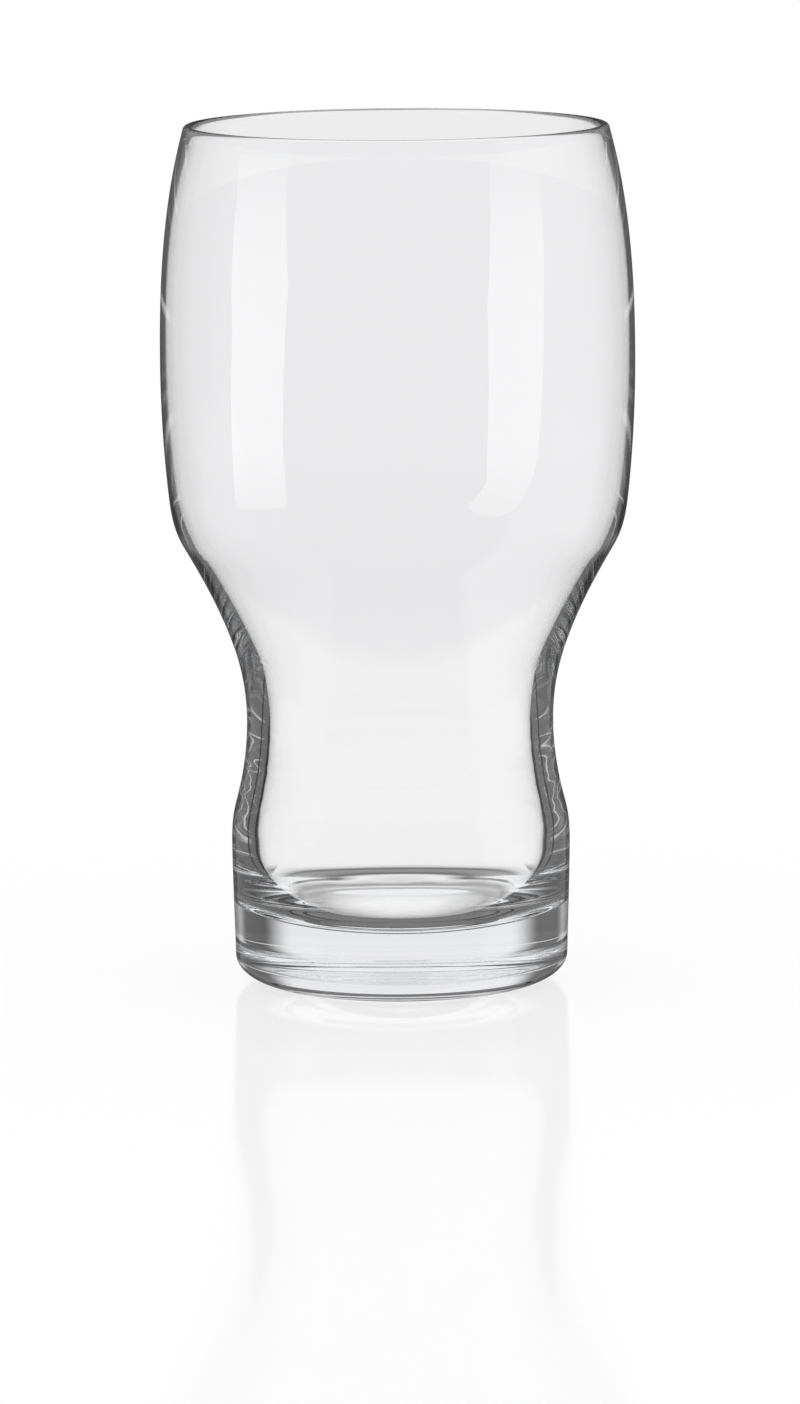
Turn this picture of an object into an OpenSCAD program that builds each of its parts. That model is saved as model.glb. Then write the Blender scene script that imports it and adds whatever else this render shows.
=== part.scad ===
// Footed beer glass: a bulging bowl on a cone, a drawn-in waist and a heavy solid foot, all one piece of glass.
// The glass stands on the plane z = 0 with its axis on Z. Heights are measured up from the table,
// and a rise is measured up from the place named before it.

/* [Rim] */
// Height of the whole glass, table to the crest of the rim
glass_h = 165.2; // [150:0.2:190]
// Outside diameter at the base of the rounded rim
rim_d = 81.4; // [76:0.2:88]
// Thickness of the fire-polished rim
rim_wall = 1.96; // [1.2:0.02:3.2]

/* [Bowl] */
// Largest outside diameter of the bowl
belly_d = 90.8; // [86:0.2:98]
// Rise from the shoulder to the largest diameter
belly_rise = 25.5; // [18:0.5:32]
// Wall at the largest diameter, the thinnest in the glass
belly_wall = 1.08; // [0.9:0.02:2.5]
// Outside diameter where the bowl starts to turn in to the cone
shoulder_d = 88.2; // [84:0.2:90]
// Rise from the top of the cone to that turn
shoulder_rise = 10.5; // [8:0.5:14]
// Wall at the shoulder
shoulder_wall = 1.41; // [1:0.01:3]

/* [Cone] */
// Outside diameter at the top of the cone
cone_top_d = 82.6; // [79:0.2:84]
// Rise from the foot of the cone to its top
cone_rise = 19.8; // [16:0.2:24]
// Wall at the top of the cone, measured level
cone_top_wall = 1.95; // [1.4:0.05:4]
// Outside diameter at the foot of the cone
cone_foot_d = 63.5; // [60:0.2:68]
// Rise from the waist to the foot of the cone
cone_foot_rise = 14.1; // [11:0.1:18]
// Wall at the foot of the cone, measured level
cone_foot_wall = 3.23; // [2:0.01:6]

/* [Waist] */
// Smallest outside diameter
waist_d = 58.9; // [54:0.1:60]
// Rise from the flare to the smallest diameter
waist_rise = 16; // [12:0.5:20]
// Wall at the waist
waist_wall = 4.18; // [3:0.01:6]

/* [Foot] */
// Outside diameter where the flare below the waist turns into the foot
flare_d = 63.4; // [61:0.2:65]
// Rise from the largest diameter of the foot to that turn
flare_rise = 7.8; // [6:0.2:10]
// Wall at that turn
flare_wall = 4.86; // [3:0.01:6]
// Largest outside diameter of the foot
foot_d = 65.1; // [64:0.1:72]
// Height of the largest diameter of the foot
foot_h = 27; // [20:0.2:32]
// Wall where the cavity is widest inside the foot
foot_wall = 4.98; // [3.5:0.01:7]
// Rise from the largest diameter of the foot to the cavity's widest place
cavity_rise = 2; // [0:0.2:4]

/* [Heel] */
// Outside diameter above the rounded heel, at the bottom of the foot
heel_d = 64; // [60:0.2:66]
// Width of the rounded heel, from the outside in to the ring that touches the table
heel_w = 9; // [3:0.5:12]
// Height of the rounded heel
heel_h = 5.3; // [2:0.1:8]
// Width of the flat ring that the glass stands on
ring_w = 3; // [1:0.5:6]
// Rise of the hollow under the base, at its middle
push_up_h = 0.5; // [0.2:0.1:2]

/* [Floor] */
// Height of the lowest point of the cavity's dished floor
base_h = 11.5; // [8:0.1:15]
// Radius of the dish that forms the floor
dish_r = 90; // [60:5:300]
// Solid glass round the floor, from the outside of the foot to where the dish gives way to its corner
floor_wall = 12.15; // [11:0.05:16]
// Radius of the rounded corner between the floor and the side
corner_r = 7; // [3:0.5:8]

/* [Hidden] */
// Lean of the outside at each station: how fast its radius grows with height
rim_lean = -0.27;
shoulder_lean = 0.105;
cone_top_lean = 0.595;
cone_foot_lean = 0.335;
flare_lean = -0.275;
foot_lean = 0.01;
heel_lean = 0.025;
// Lean of the inside at each station
rim_in_lean = -0.337;
belly_in_lean = 0.006;
shoulder_in_lean = 0.124;
cone_top_in_lean = 0.647;
cone_foot_in_lean = 0.429;
waist_in_lean = 0.043;
flare_in_lean = -0.218;
corner_in_lean = 0.6;
// Points on each smooth stretch and on each arc
stretch_points = 10;
arc_points = 10;
round_fn = 160;

// Heights of the stations
flare_h = foot_h + flare_rise;
waist_h = flare_h + waist_rise;
cone_foot_h = waist_h + cone_foot_rise;
cone_top_h = cone_foot_h + cone_rise;
shoulder_h = cone_top_h + shoulder_rise;
belly_h = shoulder_h + belly_rise;
cavity_h = foot_h + cavity_rise;
rim_r = rim_wall / 2;
rim_h = glass_h - rim_r;
rim_mid_r = rim_d / 2 - rim_r;

// The ring that touches the table, and the shallow dome inside it
ring_out_r = heel_d / 2 - heel_w;
ring_in_r = ring_out_r - ring_w;
dome_r = (ring_in_r * ring_in_r + push_up_h * push_up_h) / (2 * push_up_h);
dome_turn = asin(ring_in_r / dome_r);

// The dished floor, and the corner that touches it and the side without a crease
dish_h = base_h + dish_r;
floor_turn = asin((foot_d / 2 - floor_wall) / dish_r);
corner_turn = atan(corner_in_lean);
corner_mid_r = (dish_r - corner_r) * sin(floor_turn);
corner_mid_h = dish_h - (dish_r - corner_r) * cos(floor_turn);
corner_top_r = corner_mid_r + corner_r * cos(corner_turn);
corner_top_h = corner_mid_h - corner_r * sin(corner_turn);

// Stations of the outside, from the heel up, each one a height, a radius and a lean
outside = [
    [heel_h, heel_d / 2, heel_lean],
    [foot_h, foot_d / 2, foot_lean],
    [flare_h, flare_d / 2, flare_lean],
    [waist_h, waist_d / 2, 0],
    [cone_foot_h, cone_foot_d / 2, cone_foot_lean],
    [cone_top_h, cone_top_d / 2, cone_top_lean],
    [shoulder_h, shoulder_d / 2, shoulder_lean],
    [belly_h, belly_d / 2, 0],
    [rim_h, rim_d / 2, rim_lean],
];

// Stations of the inside, from the top of the floor's corner up
inside = [
    [corner_top_h, corner_top_r, corner_in_lean],
    [cavity_h, foot_d / 2 - foot_wall, 0],
    [flare_h, flare_d / 2 - flare_wall, flare_in_lean],
    [waist_h, waist_d / 2 - waist_wall, waist_in_lean],
    [cone_foot_h, cone_foot_d / 2 - cone_foot_wall, cone_foot_in_lean],
    [cone_top_h, cone_top_d / 2 - cone_top_wall, cone_top_in_lean],
    [shoulder_h, shoulder_d / 2 - shoulder_wall, shoulder_in_lean],
    [belly_h, belly_d / 2 - belly_wall, belly_in_lean],
    [rim_h, rim_d / 2 - rim_wall, rim_in_lean],
];

// Radius at height z on the smooth stretch between stations a and b
function on_stretch(a, b, z) =
    let (h = b[0] - a[0])
    let (t = (z - a[0]) / h)
    let (u = 1 - t)
    u * u * (1 + 2 * t) * a[1] + t * t * (1 + 2 * u) * b[1] + t * u * h * (u * a[2] - t * b[2]);

// Points of stretch i, from just past its lower station up to its upper one
function stretch_up(stations, i) =
    let (a = stations[i])
    let (b = stations[i + 1])
    [
        for (k = [1 : stretch_points])
            let (z = a[0] + (b[0] - a[0]) * k / stretch_points)
            [on_stretch(a, b, z), z]
    ];

// Points of stretch i, from just past its upper station down to its lower one
function stretch_down(stations, i) =
    let (a = stations[i])
    let (b = stations[i + 1])
    [
        for (k = [stretch_points - 1 : -1 : 0])
            let (z = a[0] + (b[0] - a[0]) * k / stretch_points)
            [on_stretch(a, b, z), z]
    ];

// Points of an arc, from just past its start to its end
function arc_run(centre, w, h, from, to) = [
    for (k = [1 : arc_points])
        let (a = from + (to - from) * k / arc_points)
        centre + [w * cos(a), h * sin(a)]
];

// Half of the glass's section: underside, heel, outside, rim, inside, corner and floor
module section() {
    last = len(outside) - 2;
    rim_from = atan(-rim_lean);
    rim_to = 180 - atan(-rim_in_lean);
    underside = arc_run([0, push_up_h - dome_r], dome_r, dome_r, 90, 90 - dome_turn);
    heel = arc_run([ring_out_r, heel_h], heel_w, heel_h, -90, 0);
    up = [for (i = [0 : last]) each stretch_up(outside, i)];
    rim = arc_run([rim_mid_r, rim_h], rim_r, rim_r, rim_from, rim_to);
    down = [for (i = [last : -1 : 0]) each stretch_down(inside, i)];
    corner = arc_run([corner_mid_r, corner_mid_h], corner_r, corner_r, -corner_turn, floor_turn - 90);
    dish = arc_run([0, dish_h], dish_r, dish_r, floor_turn - 90, -90);
    polygon(concat([[0, push_up_h]], underside, [[ring_out_r, 0]], heel, up, rim, down, corner, dish));
}

module beer_glass() {
    color([0.86, 0.92, 0.92, 0.4])
        rotate_extrude($fn = round_fn)
            section();
}

beer_glass();
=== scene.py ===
import bpy
import math
from mathutils import Euler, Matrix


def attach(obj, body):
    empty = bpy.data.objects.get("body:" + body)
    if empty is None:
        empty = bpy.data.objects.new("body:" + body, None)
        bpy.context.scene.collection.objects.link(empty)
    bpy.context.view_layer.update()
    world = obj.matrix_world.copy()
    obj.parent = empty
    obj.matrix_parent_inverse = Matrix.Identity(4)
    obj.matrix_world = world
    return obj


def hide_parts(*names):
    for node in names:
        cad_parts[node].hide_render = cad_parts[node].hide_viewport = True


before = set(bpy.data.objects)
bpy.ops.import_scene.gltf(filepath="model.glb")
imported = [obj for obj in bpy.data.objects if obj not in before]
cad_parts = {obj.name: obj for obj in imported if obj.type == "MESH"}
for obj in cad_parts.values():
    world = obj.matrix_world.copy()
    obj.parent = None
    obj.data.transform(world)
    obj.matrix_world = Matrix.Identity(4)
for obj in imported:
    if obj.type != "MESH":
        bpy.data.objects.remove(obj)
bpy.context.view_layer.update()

scene = bpy.context.scene
scene.view_settings.view_transform = "Standard"

# The glass: one gob of clear soda-lime glass, blown and turned in a mould, so every level cut through it is round.
# Its rim is melted smooth in a flame, its wall is thin at the belly and thick at the waist, and its foot is solid.
# Sizes are in millimetres on the section's half, and a lean is how fast a radius grows with height.
MM = 0.001
GLASS_H = 165.2
RIM_R = 0.98
RIM_MID_R = 39.72
RIM_H = GLASS_H - RIM_R
CAVITY_H = 29.0
CAVITY_R = 27.57
BASE_H = 11.5
DISH_R = 90.0
CORNER_R = 7.0
FLOOR_R = 20.4
CORNER_LEAN = 0.6
HEEL_W = 9.0
HEEL_H = 5.3
HEEL_OUT_R = 32.0
RING_W = 3.0
PUSH_UP_H = 0.5
OUTSIDE = [
    # height, radius, lean
    (HEEL_H, HEEL_OUT_R, 0.025),
    (27.0, 32.55, 0.01),
    (34.8, 31.7, -0.275),
    (50.8, 29.45, 0.0),
    (64.9, 31.75, 0.335),
    (84.7, 41.3, 0.595),
    (95.2, 44.1, 0.105),
    (120.7, 45.4, 0.0),
    (RIM_H, RIM_MID_R + RIM_R, -0.27),
]
INSIDE = [
    # height, radius, lean
    (CAVITY_H, CAVITY_R, 0.0),
    (34.8, 26.84, -0.218),
    (50.8, 25.27, 0.043),
    (64.9, 28.52, 0.429),
    (84.7, 39.35, 0.647),
    (95.2, 42.69, 0.124),
    (120.7, 44.32, 0.006),
    (RIM_H, RIM_MID_R - RIM_R, -0.337),
]
# How finely the section is stepped: millimetres on the sides and the ring, and degrees on the arcs. Points closer
# than MERGE become one.
FINE, COARSE, FINE_BELOW = 0.5, 1.2, 70.0
DOME_STEPS, RING_STEP, HEEL_STEP, RIM_STEP, CORNER_STEP, DISH_STEP = 12, 0.8, 3.0, 9.0, 4.0, 1.2
COLUMNS = 176
MERGE = 0.001
# The waist has faint level ripples, left as the gob chilled in the mould. The noise that makes them reaches about
# a fifth of the depth to each side, or 0.02 mm, and its scale is per metre. They fade in and out between heights.
RIPPLE_DEPTH = 0.10
RIPPLE_SCALE = (30.0, 30.0, 300.0)
RIPPLES_BEGIN, RIPPLES_FULL_FROM = 28.0, 38.0
RIPPLES_FULL_TO, RIPPLES_END = 44.0, 54.0
IOR = 1.52
DEPTH_COLOR = (0.86, 0.90, 0.96, 1.0)
DEPTH_DENSITY = 1.5


def on_stretch(a, b, z):
    """Radius at height z on the smooth stretch between two stations."""
    h = b[0] - a[0]
    t = (z - a[0]) / h
    u = 1 - t
    return u * u * (1 + 2 * t) * a[1] + t * t * (1 + 2 * u) * b[1] + t * u * h * (u * a[2] - t * b[2])


def on_side(stations, z):
    """Radius at height z on a whole side of the wall."""
    i = max(i for i in range(len(stations) - 1) if i == 0 or z >= stations[i][0])
    return on_stretch(stations[i], stations[i + 1], z)


def steps(start, end, pitch):
    """Heights or angles from just past start to end, no further apart than pitch."""
    n = max(1, math.ceil(abs(end - start) / pitch))
    return [start + (end - start) * k / n for k in range(1, n + 1)]


def side_run(stations, start, end, pitch):
    """Points on a side of the wall, from just past one height to another."""
    return [(on_side(stations, z), z) for z in steps(start, end, pitch)]


def arc_run(mid, r, start, end, pitch):
    """Points on an arc, from just past its start to its end, in degrees."""
    turns = [math.radians(a) for a in steps(start, end, pitch)]
    return [(mid[0] + r * math.cos(a), mid[1] + r * math.sin(a)) for a in turns]


def half_section():
    """The edge of the glass's half section, from the middle of the underside round to the cavity's floor."""
    ring_out_r = HEEL_OUT_R - HEEL_W
    ring_in_r = ring_out_r - RING_W
    dome_r = (ring_in_r ** 2 + PUSH_UP_H ** 2) / (2 * PUSH_UP_H)
    dome_turn = math.degrees(math.asin(ring_in_r / dome_r))
    rim_out = math.degrees(math.atan(-OUTSIDE[-1][2]))
    rim_in = 180 - math.degrees(math.atan(-INSIDE[-1][2]))
    dish_h = BASE_H + DISH_R
    floor_turn = math.asin(FLOOR_R / DISH_R)
    dish_turn = math.degrees(floor_turn) - 90
    corner_turn = math.atan(CORNER_LEAN)
    corner_r = (DISH_R - CORNER_R) * math.sin(floor_turn)
    corner_h = dish_h - (DISH_R - CORNER_R) * math.cos(floor_turn)
    corner_top_h = corner_h - CORNER_R * math.sin(corner_turn)
    corner_top = (corner_top_h, corner_r + CORNER_R * math.cos(corner_turn), CORNER_LEAN)
    points = [(0.0, PUSH_UP_H)]
    points += arc_run((0, PUSH_UP_H - dome_r), dome_r, 90, 90 - dome_turn, dome_turn / DOME_STEPS)
    points += [(r, 0.0) for r in steps(ring_in_r, ring_out_r, RING_STEP)]
    points += [(ring_out_r + HEEL_W * x, HEEL_H * (1 + y)) for x, y in arc_run((0, 0), 1, -90, 0, HEEL_STEP)]
    points += side_run(OUTSIDE, HEEL_H, FINE_BELOW, FINE)
    points += side_run(OUTSIDE, FINE_BELOW, RIM_H, COARSE)
    points += arc_run((RIM_MID_R, RIM_H), RIM_R, rim_out, rim_in, RIM_STEP)
    points += side_run(INSIDE, RIM_H, FINE_BELOW, COARSE)
    points += side_run(INSIDE, FINE_BELOW, CAVITY_H, FINE)
    points += side_run([corner_top, INSIDE[0]], CAVITY_H, corner_top_h, FINE)
    points += arc_run((corner_r, corner_h), CORNER_R, -math.degrees(corner_turn), dish_turn, CORNER_STEP)
    points += arc_run((0, dish_h), DISH_R, dish_turn, -90, DISH_STEP)
    return points


def add(tree, kind, fed=None, **settings):
    """The outputs of a new node, with its inputs fed by name or place from sockets or plain values."""
    made = tree.nodes.new(kind)
    for name, value in settings.items():
        setattr(made, name, value)
    for place, value in (fed or {}).items():
        if isinstance(value, bpy.types.NodeSocket):
            tree.links.new(value, made.inputs[place])
        else:
            made.inputs[place].default_value = value
    return made.outputs


def maths(tree, operation, *values):
    """A maths node over sockets and plain numbers."""
    return add(tree, "ShaderNodeMath", dict(enumerate(values)), operation=operation)[0]


def eased(tree, value, start, end):
    """Rises smoothly from 0 where value is start to 1 where it is end, which may be the lower one."""
    fed = {"Value": value, "From Min": start, "From Max": end}
    return add(tree, "ShaderNodeMapRange", fed, interpolation_type="SMOOTHSTEP")["Result"]


def turning_tree():
    """Geometry Nodes that turn a half section round Z, close its seam and its poles, and finish it in glass."""
    tree = bpy.data.node_groups.new("turn_glass", "GeometryNodeTree")
    kinds = {
        "Half section": "NodeSocketGeometry",
        "Columns": "NodeSocketInt",
        "Ripple depth": "NodeSocketFloat",
        "Ripple scale": "NodeSocketVector",
        "Ripples begin": "NodeSocketFloat",
        "Ripples full from": "NodeSocketFloat",
        "Ripples full to": "NodeSocketFloat",
        "Ripples end": "NodeSocketFloat",
        "Glass": "NodeSocketMaterial",
    }
    identifiers = {
        name: tree.interface.new_socket(name, in_out="INPUT", socket_type=kind).identifier
        for name, kind in kinds.items()
    }
    tree.interface.new_socket("Turned glass", in_out="OUTPUT", socket_type="NodeSocketGeometry")
    given = add(tree, "NodeGroupInput")
    section = given["Half section"]

    # A sheet of as many rows as the section has points, each row's points set round the axis.
    rows = add(tree, "GeometryNodeAttributeDomainSize", {"Geometry": section}, component="MESH")["Point Count"]
    edges = maths(tree, "ADD", given["Columns"], 1)
    sheet = add(tree, "GeometryNodeMeshGrid", {"Vertices X": edges, "Vertices Y": rows})["Mesh"]
    index = add(tree, "GeometryNodeInputIndex")[0]
    column = maths(tree, "FLOOR", maths(tree, "DIVIDE", maths(tree, "ADD", index, 0.5), rows))
    row = maths(tree, "SUBTRACT", index, maths(tree, "MULTIPLY", column, rows))
    place = add(tree, "GeometryNodeInputPosition")[0]
    fed = {"Geometry": section, "Value": place, "Index": row}
    here = add(tree, "GeometryNodeSampleIndex", fed, data_type="FLOAT_VECTOR", domain="POINT")[0]
    turn = maths(tree, "DIVIDE", maths(tree, "MULTIPLY", column, 2 * math.pi), given["Columns"])
    turned = add(tree, "ShaderNodeVectorRotate", {"Vector": here, "Angle": turn}, rotation_type="Z_AXIS")[0]
    glass = add(tree, "GeometryNodeSetPosition", {"Geometry": sheet, "Position": turned})[0]

    # The ripples push the waist's wall in and out a little.
    stretched = add(tree, "ShaderNodeVectorMath", {0: place, 1: given["Ripple scale"]}, operation="MULTIPLY")[0]
    fed = {"Vector": stretched, "Scale": 1.0, "Detail": 1.0}
    noise = add(tree, "ShaderNodeTexNoise", fed, noise_dimensions="3D")[0]
    height = add(tree, "ShaderNodeSeparateXYZ", {0: place})[2]
    begun = eased(tree, height, given["Ripples begin"], given["Ripples full from"])
    not_over = eased(tree, height, given["Ripples end"], given["Ripples full to"])
    depth = maths(tree, "MULTIPLY", maths(tree, "MULTIPLY", not_over, begun), given["Ripple depth"])
    depth = maths(tree, "MULTIPLY", depth, maths(tree, "SUBTRACT", noise, 0.5))
    level = add(tree, "ShaderNodeVectorMath", {0: place, 1: (1.0, 1.0, 0.0)}, operation="MULTIPLY")[0]
    outward = add(tree, "ShaderNodeVectorMath", {0: level}, operation="NORMALIZE")[0]
    push = add(tree, "ShaderNodeVectorMath", {0: outward, "Scale": depth}, operation="SCALE")[0]
    glass = add(tree, "GeometryNodeSetPosition", {"Geometry": glass, "Offset": push})[0]

    glass = add(tree, "GeometryNodeMergeByDistance", {"Geometry": glass, "Distance": MERGE * MM})[0]
    glass = add(tree, "GeometryNodeSetShadeSmooth", {"Geometry": glass})[0]
    glass = add(tree, "GeometryNodeRealizeInstances", {"Geometry": glass})[0]
    glass = add(tree, "GeometryNodeSetMaterial", {"Geometry": glass, "Material": given["Glass"]})[0]
    add(tree, "NodeGroupOutput", {"Turned glass": glass})
    return tree, identifiers


def clear_glass():
    """Clear soda-lime glass, which takes a little of the light with depth and leaves the rest a little cool."""
    made = bpy.data.materials.new("clear_glass")
    made.use_nodes = True
    shader = made.node_tree.nodes["Principled BSDF"]
    shader.inputs["Base Color"].default_value = (1.0, 1.0, 1.0, 1.0)
    shader.inputs["Transmission Weight"].default_value = 1.0
    shader.inputs["IOR"].default_value = IOR
    shader.inputs["Roughness"].default_value = 0.0
    fed = {"Color": DEPTH_COLOR, "Density": DEPTH_DENSITY}
    depth = add(made.node_tree, "ShaderNodeVolumeAbsorption", fed)["Volume"]
    made.node_tree.links.new(depth, made.node_tree.nodes["Material Output"].inputs["Volume"])
    return made


section_points = half_section()
section_mesh = bpy.data.meshes.new("beer_glass_section")
section_mesh.from_pydata(
    [(r * MM, 0.0, z * MM) for r, z in section_points],
    [(i, i + 1) for i in range(len(section_points) - 1)],
    [],
)
section = bpy.data.objects.new("beer_glass_section", section_mesh)
scene.collection.objects.link(section)
turning = section.modifiers.new("turn", "NODES")
turning.node_group, turning_inputs = turning_tree()
turning_sizes = {
    "Columns": COLUMNS,
    "Ripple depth": RIPPLE_DEPTH * MM,
    "Ripple scale": RIPPLE_SCALE,
    "Ripples begin": RIPPLES_BEGIN * MM,
    "Ripples full from": RIPPLES_FULL_FROM * MM,
    "Ripples full to": RIPPLES_FULL_TO * MM,
    "Ripples end": RIPPLES_END * MM,
    "Glass": clear_glass(),
}
for name, value in turning_sizes.items():
    turning[turning_inputs[name]] = value
bpy.context.view_layer.update()
turned_mesh = bpy.data.meshes.new_from_object(section.evaluated_get(bpy.context.evaluated_depsgraph_get()))
turned_mesh.name = "clear_beer_glass"
glass = bpy.data.objects.new("clear_beer_glass", turned_mesh)
scene.collection.objects.link(glass)
bpy.data.objects.remove(section)
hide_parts("beer_glass")
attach(glass, "root")

# The table: a plain white sheet under and behind the glass, with a faint gloss that mirrors the foot. Rays that
# have come through the glass see painted light and shade, glowing from the sheet itself in place of what the foot
# would throw: rings close round its middle, curved dark lines just behind it, and a cool white further off. Sizes
# are in millimetres, and a tone of 1 is white.
SHEET_HALF = 6000.0
SHEET_GLOSS = 0.13
SHEET_GLOSS_ROUGH = 0.12
SHEET_SHADOW = 0.15
# The painted rings of light and shade under the foot, which waver with a noise of this scale per metre, and the
# painted tones further off.
PAINTED_FOOT_RINGS = [
    # distance from the glass's axis, tone
    (11.0, 0.97),
    (12.5, 0.66),
    (14.0, 0.92),
    (15.5, 0.62),
    (17.0, 0.78),
    (19.6, 0.34),
    (20.8, 0.62),
    (21.8, 0.22),
    (23.0, 0.58),
    (24.2, 0.16),
    (25.6, 0.50),
    (26.8, 0.24),
    (31.0, 0.75),
    (36.0, 0.97),
    (170.0, 1.0),
    (240.0, 0.99),
    (280.0, 0.93),
    (330.0, 0.915),
    (600.0, 0.92),
    (750.0, 0.935),
]
RING_BEND = 7.0
RING_BEND_SCALE = 130.0
RING_BEND_DETAIL = 2.0
# The painted dark curves of shade behind the foot go round a point on its middle line, and end at its sides.
CURVES_MID_Y = 26.0
PAINTED_CURVES = [
    # distance from the middle of the curves, tone
    (7.0, 0.66),
    (9.5, 0.97),
    (12.0, 0.97),
    (14.0, 0.38),
    (15.5, 0.06),
    (18.8, 0.03),
    (20.2, 0.40),
    (23.2, 0.36),
    (24.0, 0.02),
    (27.0, 0.02),
    (28.4, 0.48),
    (31.0, 0.70),
    (36.0, 0.97),
]
CURVES_FROM_Y = 12.0
CURVES_HALF_X = 36.0
# Round the foot the sheet is left open, save where the painted curves lie, and the room's light shows there.
OPEN_FROM, OPEN_TO = 33.0, 62.0
COOL_FROM = 280.0
COOL = 0.985
THROUGH_GLASS = 0.96
# A ray passes this many surfaces on its way through one wall, as at the rim, which sees the sheet from far off.
ONE_WALL = 2
RIM_SEES_FROM = 190.0
PANEL = 0.875


def mixed(share, first, second):
    """From one finish of the sheet to another as share goes from 0 to 1."""
    return add(sheet, "ShaderNodeMixShader", {0: share, 1: first, 2: second})[0]


def far_from(y):
    """Distance over the table from a point on the glass's middle line."""
    shifted = add(sheet, "ShaderNodeVectorMath", {0: spot, 1: (0.0, y, 0.0)}, operation="SUBTRACT")[0]
    return add(sheet, "ShaderNodeVectorMath", {0: shifted}, operation="LENGTH")["Value"]


def painted_glow_by(distance, tones):
    """Painted light and shade glowing from the sheet by distance, as it shows through the glass."""
    made = sheet.nodes.new("ShaderNodeValToRGB")
    made.color_ramp.interpolation = "EASE"
    sheet.links.new(distance, made.inputs[0])
    stops = made.color_ramp.elements
    for i, (r, tone) in enumerate(tones):
        stop = stops[i] if i < 2 else stops.new(r * MM)
        stop.position = r * MM
        red_and_green = tone * COOL if r >= COOL_FROM else tone
        stop.color = (red_and_green, red_and_green, tone, 1.0)
    return add(sheet, "ShaderNodeEmission", {"Color": made.outputs[0], "Strength": THROUGH_GLASS})[0]


paper = bpy.data.materials.new("white_sheet")
paper.use_nodes = True
sheet = paper.node_tree
sheet.nodes.clear()
ray = add(sheet, "ShaderNodeLightPath")
passed = ray["Transmission Depth"]
spot = add(sheet, "ShaderNodeTexCoord")["Object"]
spot_x, spot_y, _ = add(sheet, "ShaderNodeSeparateXYZ", {0: spot})
radius = far_from(0.0)

# Seen by the camera: white, with the glass's shadow and a soft mirror image of it.
paper_white = add(sheet, "ShaderNodeEmission", {"Strength": 1.0})[0]
paper_matt = add(sheet, "ShaderNodeBsdfDiffuse", {"Color": (1.0, 1.0, 1.0, 1.0)})[0]
fed = {"Color": (1.0, 1.0, 1.0, 1.0), "Roughness": SHEET_GLOSS_ROUGH}
paper_gloss = add(sheet, "ShaderNodeBsdfGlossy", fed)[0]
from_outside = mixed(SHEET_GLOSS, mixed(SHEET_SHADOW, paper_white, paper_matt), paper_gloss)

# Seen through both walls: the painted rings and curves of light and shade.
swirl = add(
    sheet, "ShaderNodeTexNoise", {"Vector": spot, "Scale": RING_BEND_SCALE, "Detail": RING_BEND_DETAIL}
)[0]
bend = maths(sheet, "MULTIPLY", maths(sheet, "SUBTRACT", swirl, 0.5), RING_BEND * MM)
wavering = maths(sheet, "ADD", radius, bend)
not_close = maths(sheet, "GREATER_THAN", radius, OPEN_FROM * MM)
in_open = maths(sheet, "MULTIPLY", not_close, maths(sheet, "LESS_THAN", radius, OPEN_TO * MM))
in_curves = maths(
    sheet,
    "MULTIPLY",
    maths(sheet, "GREATER_THAN", spot_y, CURVES_FROM_Y * MM),
    maths(sheet, "LESS_THAN", maths(sheet, "ABSOLUTE", spot_x), CURVES_HALF_X * MM),
)
in_curves = maths(sheet, "MULTIPLY", in_curves, in_open)
not_open = maths(sheet, "SUBTRACT", 1.0, maths(sheet, "SUBTRACT", in_open, in_curves))
not_turned = maths(sheet, "LESS_THAN", ray["Glossy Depth"], 0.5)
both_walls = maths(sheet, "GREATER_THAN", passed, ONE_WALL + 0.5)
crossed = maths(sheet, "MULTIPLY", both_walls, not_open)
unseen = add(sheet, "ShaderNodeBsdfTransparent")[0]
# The painted shade and light of the foot: the rings, and the curves behind it.
painted_thrown_shade = mixed(in_curves, painted_glow_by(wavering, PAINTED_FOOT_RINGS), painted_glow_by(far_from(CURVES_MID_Y * MM), PAINTED_CURVES))
from_glass = mixed(maths(sheet, "MULTIPLY", crossed, not_turned), unseen, painted_thrown_shade)

# Seen through one wall, by the rim: a plain white.
one_wall = maths(sheet, "COMPARE", passed, ONE_WALL, 0.5)
by_rim = maths(sheet, "MULTIPLY", one_wall, maths(sheet, "GREATER_THAN", radius, RIM_SEES_FROM * MM))
rim_white = add(sheet, "ShaderNodeEmission", {"Strength": PANEL})[0]
from_glass = mixed(maths(sheet, "MULTIPLY", by_rim, not_turned), from_glass, rim_white)
finish = mixed(ray["Is Camera Ray"], from_glass, from_outside)
add(sheet, "ShaderNodeOutputMaterial", {"Surface": finish})

half = SHEET_HALF * MM
table_mesh = bpy.data.meshes.new("table")
table_mesh.from_pydata([(-half, -half, 0), (half, -half, 0), (half, half, 0), (-half, half, 0)], [], [(0, 1, 2, 3)])
table_mesh.materials.append(paper)
table = bpy.data.objects.new("table", table_mesh)
scene.collection.objects.link(table)
table.visible_diffuse = False
table.visible_glossy = False
table.visible_shadow = False

# The room: a white backdrop behind the glass, and dark surroundings beside it that draw its edges. Clear glass
# shows what lies in the direction that light comes from, so each way through the glass has its own tones, by
# degrees aside from straight behind it and by degrees up. The camera itself sees the backdrop as plain white.
DARK = 0.10
BACKDROP = 0.933
GLASS_TINT = (0.988, 0.99, 1.0, 1.0)
# Low down, through both walls: the foot's shade and two dark lines in it, each from and to in degrees up and soft.
SHADE_BAND, SHADE_TONE = (-51.5, -30.5, 2.5), 0.36
SHADE_LINES, SHADE_LINE_TONE = [(-37, -33.2, 0.8), (-48.2, -43.5, 1.0)], 0.08
PANELS = [
    # the bearing of each white panel, its half widths at full and at nothing, and its band up
    (0, 30, 45, (-14, 64, 4)),
    (90, 20, 30, (-7, 14, 2)),
    (-90, 20, 30, (-7, 14, 2)),
    (135, 30, 45, (-23, -9, 2)),
    (-45, 30, 45, (-60, -21, 2)),
]
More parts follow.
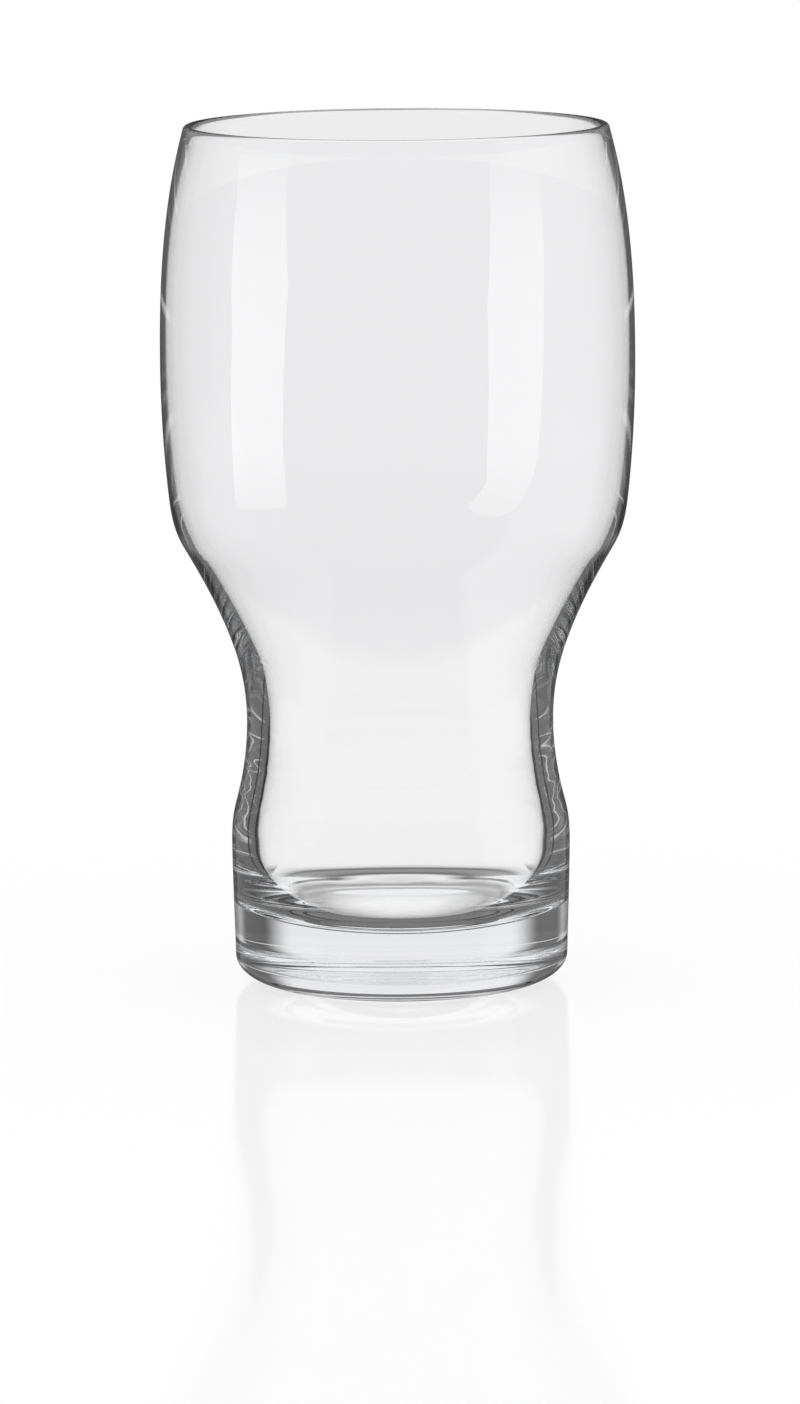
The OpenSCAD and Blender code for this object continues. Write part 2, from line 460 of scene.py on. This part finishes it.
# Turned back inside the wall: the tone for one, two, three and four turns, and then what is laid over it in order.
# A pair of degrees is where a tone begins to show and where it is full, and a third number is a softness.
TURNED_TONES = (0.12, 0.07, 0.11, 0.06)
STEEP_UPS, STEEP_TONE = [(-40, -50), (17, 21)], 0.17
SIDE_ASIDE, SIDE_BAND, SIDE_TONE = (48, 60), (-2, 17, 3), 0.06
GLINTS, GLINT_HALF, GLINT_SOFT = (-16.4, -12.6, -9.2, -5.0, 3.0, 8.0, 12.5, 16.0), 0.25, 0.15
GLINT_ASIDE, GLINT_TONE = (42, 32), 0.62
BLACK_LINES = [(33.2, 36.0, 0.6), (46, 49.5, 1)]
PATCH_ASIDE, PATCH_BAND, PATCH_TONE = (60, 95, 6), (-30, -10, 3), 0.42
CEILING_UP, LOW_CEILING_UP, LOW_CEILING_ASIDE = (43, 53), (26, 40), (20, 32)
# Mirrored by the outside: a paler wall to each side, paler still on the right, and dark again behind the camera.
WALL_ASIDE, WALL_TONE = (23, 30), 0.40
RIGHT_ASIDE, RIGHT_TONE = (40, 70), 0.40
BACK_ASIDE = (115, 128)

world = bpy.data.worlds.new("studio")
scene.world = world
world.use_nodes = True
room = world.node_tree


def band(value, low, high, soft):
    """1 between low and high, with soft edges."""
    return both(eased(room, value, low - soft, low + soft), eased(room, value, high + soft, high - soft))


def both(first, second):
    """Two shares at once."""
    return maths(room, "MULTIPLY", first, second)


def degrees_from(bearing):
    """Degrees away from a bearing, where 0 is straight behind the glass and +90 is to its right."""
    fed = {"Vector": look, "Angle": math.radians(bearing)}
    across, along, _ = add(
        room, "ShaderNodeSeparateXYZ", {0: add(room, "ShaderNodeVectorRotate", fed, rotation_type="Z_AXIS")[0]}
    )
    return maths(room, "DEGREES", maths(room, "ARCTAN2", across, along))


def at_least(count, n):
    """1 where a count of bounces is n or more."""
    return eased(room, count, n - 1.0, float(n))


def blend(share, low, high):
    """From low to high as share goes from 0 to 1."""
    return maths(room, "ADD", low, both(share, maths(room, "SUBTRACT", high, low)))


def brightest(values):
    """The highest of several values."""
    best, *others = values
    for value in others:
        best = maths(room, "MAXIMUM", best, value)
    return best


look = add(room, "ShaderNodeTexCoord")["Generated"]
up = maths(room, "DEGREES", maths(room, "ARCSINE", add(room, "ShaderNodeSeparateXYZ", {0: look})[2]))
ahead = degrees_from(0)
aside = maths(room, "ABSOLUTE", ahead)
path = add(room, "ShaderNodeLightPath")
passed = path["Transmission Depth"]
turned_back = path["Glossy Depth"]

# Straight through both walls: the backdrop all round, and the foot's shade below it.
clear = blend(band(up, *SHADE_BAND), BACKDROP, SHADE_TONE)
clear = blend(brightest(band(up, *line) for line in SHADE_LINES), clear, SHADE_LINE_TONE)

# Straight through the solid foot or the rim: white panels round the glass, one at each listed bearing.
panels = []
for bearing, full, none, panel_band in PANELS:
    off = maths(room, "ABSOLUTE", degrees_from(bearing))
    panels.append(both(eased(room, off, none, full), band(up, *panel_band)))
solid = blend(brightest(panels), DARK, PANEL)

# Turned back inside the wall: dark, with glints, lines and a patch of the table, under a bright ceiling.
turned_once, *turned_more = TURNED_TONES
edge = turned_once
for count, tone in enumerate(turned_more, start=2):
    edge = blend(at_least(turned_back, count), edge, tone)
edge = blend(brightest(eased(room, up, *steep) for steep in STEEP_UPS), edge, STEEP_TONE)
edge = blend(both(eased(room, aside, *SIDE_ASIDE), band(up, *SIDE_BAND)), edge, SIDE_TONE)
glints = brightest(band(up, at - GLINT_HALF, at + GLINT_HALF, GLINT_SOFT) for at in GLINTS)
edge = blend(both(glints, eased(room, aside, *GLINT_ASIDE)), edge, GLINT_TONE)
edge = blend(brightest(band(aside, *line) for line in BLACK_LINES), edge, 0.0)
edge = blend(both(band(aside, *PATCH_ASIDE), band(up, *PATCH_BAND)), edge, PATCH_TONE)
low_ceiling = both(eased(room, up, *LOW_CEILING_UP), eased(room, aside, *LOW_CEILING_ASIDE))
edge = blend(brightest([eased(room, up, *CEILING_UP), low_ceiling]), edge, PANEL)
edge = blend(at_least(passed, ONE_WALL + 1), edge, BACKDROP)

# Mirrored by the outside. The table, whose gloss is less sharp, sees a white room.
mirrored = blend(eased(room, aside, *WALL_ASIDE), DARK, WALL_TONE)
mirrored = maths(room, "ADD", mirrored, both(eased(room, ahead, *RIGHT_ASIDE), RIGHT_TONE))
mirrored = blend(eased(room, aside, *BACK_ASIDE), mirrored, DARK)
mirrored = blend(path["Is Singular Ray"], 1.0, mirrored)

straight = blend(at_least(passed, ONE_WALL + 1), solid, clear)
inside = blend(at_least(turned_back, 1), straight, edge)
seen = blend(at_least(passed, 1), mirrored, inside)
seen = blend(path["Is Camera Ray"], seen, 1.0)
untinted = brightest([path["Is Camera Ray"], maths(room, "SUBTRACT", 1.0, path["Is Singular Ray"])])
fed = {"Factor": untinted, "A": GLASS_TINT, "B": (1.0, 1.0, 1.0, 1.0)}
tint = add(room, "ShaderNodeMix", fed, data_type="RGBA")["Result"]
room.links.new(seen, room.nodes["Background"].inputs["Strength"])
room.links.new(tint, room.nodes["Background"].inputs["Color"])

# Light turns back and forth in the foot many times before it leaves, so its rays are followed for long.
BOUNCES, OPEN_BOUNCES = 64, 16
scene.cycles.max_bounces = BOUNCES
scene.cycles.transmission_bounces = BOUNCES
scene.cycles.glossy_bounces = BOUNCES
scene.cycles.transparent_max_bounces = OPEN_BOUNCES

# The lamps: two tall panels of white cloth beside the glass, which fade towards their ends. They make the two
# upright streaks on the bowl, and are seen only where its outside mirrors them.
LAMP_GLOW = 2.3
LAMP_LOW = (60.0, 100.0)
LAMP_HIGH = (200.0, 138.0)
LAMPS = {
    # where each upright edge stands, and the outline between the two as share across and height
    "lamp_left": (
        (-57.3, -66.7),
        (-77.0, -32.0),
        [(0.1, 83), (1.0, 83), (0.9, 125), (1.0, 160), (1.15, 175), (0.2, 178), (0.0, 140), (0.1, 100)],
    ),
    "lamp_right": (
        (45.4, -76.5),
        (69.8, -50.1),
        [(0.3, 80), (0.6, 82), (0.8, 86), (0.95, 92), (1.0, 100), (1.1, 135), (1.35, 176), (0.35, 178)]
        + [(0.1, 135), (0.1, 89), (-0.05, 85), (-0.2, 82), (-0.1, 80)],
    ),
}
lit = bpy.data.materials.new("lamp_cloth")
lit.use_nodes = True
cloth = lit.node_tree
cloth.nodes.clear()
mirrored_only = maths(cloth, "LESS_THAN", add(cloth, "ShaderNodeLightPath")["Transmission Depth"], 0.5)
height = add(cloth, "ShaderNodeSeparateXYZ", {0: add(cloth, "ShaderNodeTexCoord")["Object"]})[2]
glow = LAMP_GLOW
for dim, full in (LAMP_LOW, LAMP_HIGH):
    glow = maths(cloth, "MULTIPLY", eased(cloth, height, dim * MM, full * MM), glow)
shining = add(cloth, "ShaderNodeEmission", {"Strength": glow})[0]
fed = {0: mirrored_only, 1: add(cloth, "ShaderNodeBsdfTransparent")[0], 2: shining}
add(cloth, "ShaderNodeOutputMaterial", {"Surface": add(cloth, "ShaderNodeMixShader", fed)[0]})
for name, (near, far, outline) in LAMPS.items():
    corners = [(*((1 - share) * a + share * b for a, b in zip(near, far)), z) for share, z in outline]
    lamp_mesh = bpy.data.meshes.new(name)
    lamp_mesh.from_pydata([(x * MM, y * MM, z * MM) for x, y, z in corners], [], [tuple(range(len(corners)))])
    lamp_mesh.materials.append(lit)
    lamp = bpy.data.objects.new(name, lamp_mesh)
    scene.collection.objects.link(lamp)
    lamp.visible_camera = False
    lamp.visible_diffuse = False
    lamp.visible_transmission = False
    lamp.visible_shadow = False

# The camera: it stands 1.5 m in front of the glass and a little above it, with a long lens, tipped down on to it
# and rolled a little. The focal length is in pixels of the photograph, which is 1404 pixels high.
CAMERA_PLACE = (0.0, -1.515, 0.2812)
CAMERA_DOWN = 8.53
CAMERA_ROLL = -0.4
SENSOR = 36.0
FOCAL_PIXELS, PICTURE_H = 7966, 1404
camera_data = bpy.data.cameras.new("camera")
camera_data.sensor_fit = "VERTICAL"
camera_data.sensor_height = SENSOR
camera_data.sensor_width = SENSOR
camera_data.lens = SENSOR * FOCAL_PIXELS / PICTURE_H
camera = bpy.data.objects.new("camera", camera_data)
camera.location = CAMERA_PLACE
camera.rotation_mode = "XYZ"
level_look = Euler((math.radians(90 - CAMERA_DOWN), 0, 0)).to_matrix()
roll = Euler((0, 0, math.radians(CAMERA_ROLL))).to_matrix()
camera.rotation_euler = (level_look @ roll).to_euler()
scene.collection.objects.link(camera)
scene.camera = camera

bpy.context.view_layer.update()
